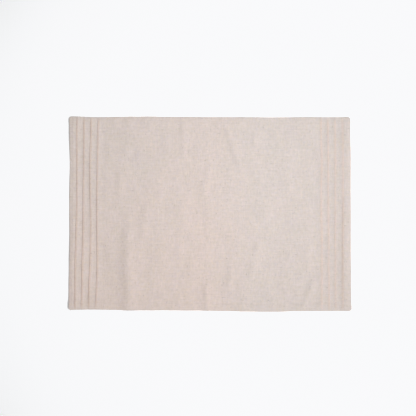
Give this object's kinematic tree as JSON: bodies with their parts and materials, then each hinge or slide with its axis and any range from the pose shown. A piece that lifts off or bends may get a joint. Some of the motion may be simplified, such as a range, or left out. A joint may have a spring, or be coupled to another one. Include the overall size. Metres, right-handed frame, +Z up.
{
  "type": "fabric placemat",
  "caption": "Rectangular linen placemat lying flat, hemmed all round, with pin tucks pressed outward at both ends and soft creases in the field.",
  "frame": {"origin": "centre of the mat's bounding box, on the surface that it lies on", "axes": "+X along the mat's length towards its right end, +Y across it towards its back edge, +Z up"},
  "size_m": [0.4814, 0.332, 0.0061],
  "materials": {
    "linen": "matt plain weave, pale warm beige"
  },
  "bodies": {
    "root": {"placemat_cloth": "linen"}
  },
  "joints": []
}
